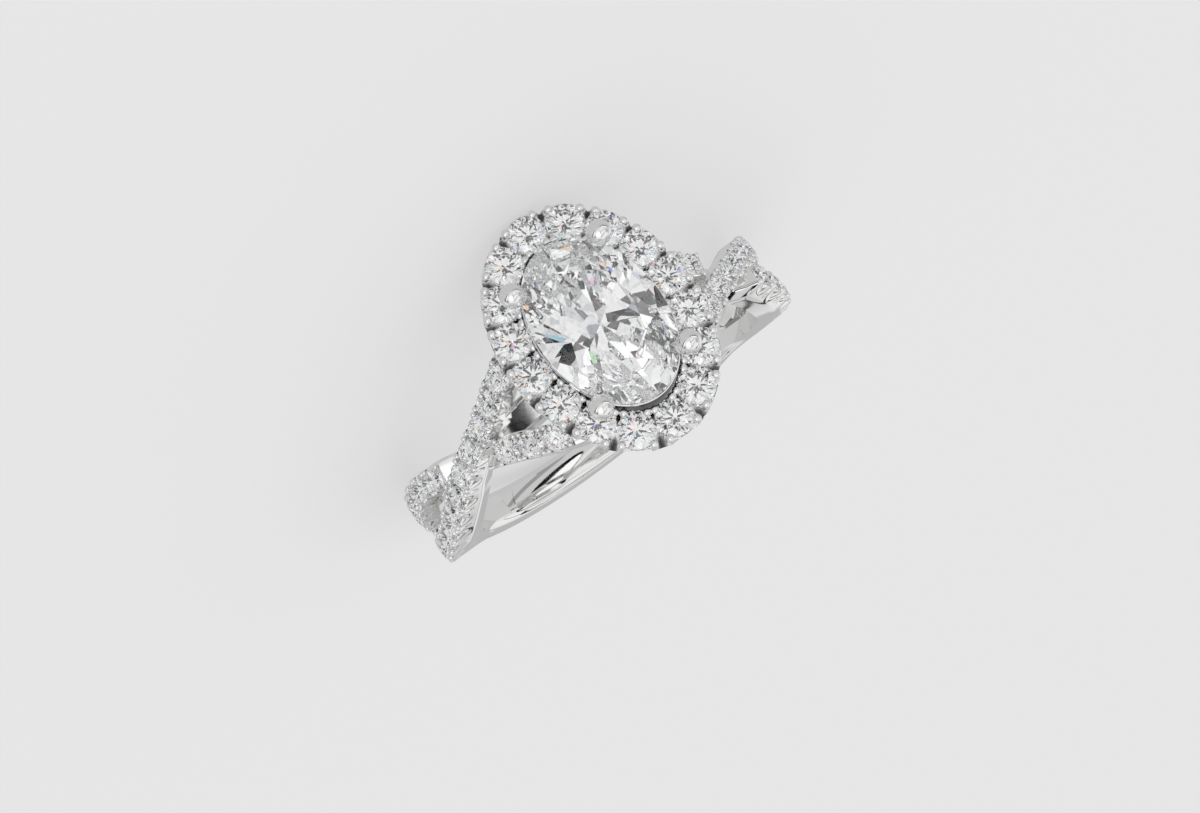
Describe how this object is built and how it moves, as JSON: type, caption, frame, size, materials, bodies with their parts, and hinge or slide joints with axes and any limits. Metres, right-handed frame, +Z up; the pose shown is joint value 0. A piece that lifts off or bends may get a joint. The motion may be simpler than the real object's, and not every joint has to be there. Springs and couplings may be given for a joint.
{
  "type": "twisted shank ring",
  "caption": "White metal engagement ring with a split, twisted, stone-set shank and an oval centre stone inside an oval halo of round stones, held by ball prongs.",
  "frame": {"origin": "centre of the finger hole, in the middle of the band's width", "axes": "the ring lies on its side: +Y from the stones toward the bottom of the shank, level with the surface it rests on; +X along the band, from side to side across the finger hole; +Z up from that surface. The finger hole's axis leans 12 degrees or so from +Z toward +Y"},
  "size_m": [0.0214, 0.0255, 0.0121],
  "materials": {
    "white_gold": "polished white gold",
    "diamond": "clear, faceted and polished"
  },
  "bodies": {
    "root": {"ring_mount": "white_gold", "centre_stone": "diamond", "halo_stone_01": "diamond", "halo_stone_02": "diamond", "halo_stone_03": "diamond", "halo_stone_04": "diamond", "halo_stone_05": "diamond", "halo_stone_06": "diamond", "halo_stone_07": "diamond", "halo_stone_08": "diamond", "halo_stone_09": "diamond", "halo_stone_10": "diamond", "halo_stone_11": "diamond", "halo_stone_12": "diamond", "halo_stone_13": "diamond", "halo_stone_14": "diamond", "halo_stone_15": "diamond", "halo_stone_16": "diamond", "pave_left_over": "diamond", "pave_left_under": "diamond", "pave_right_over": "diamond", "pave_right_under": "diamond"}
  },
  "joints": []
}
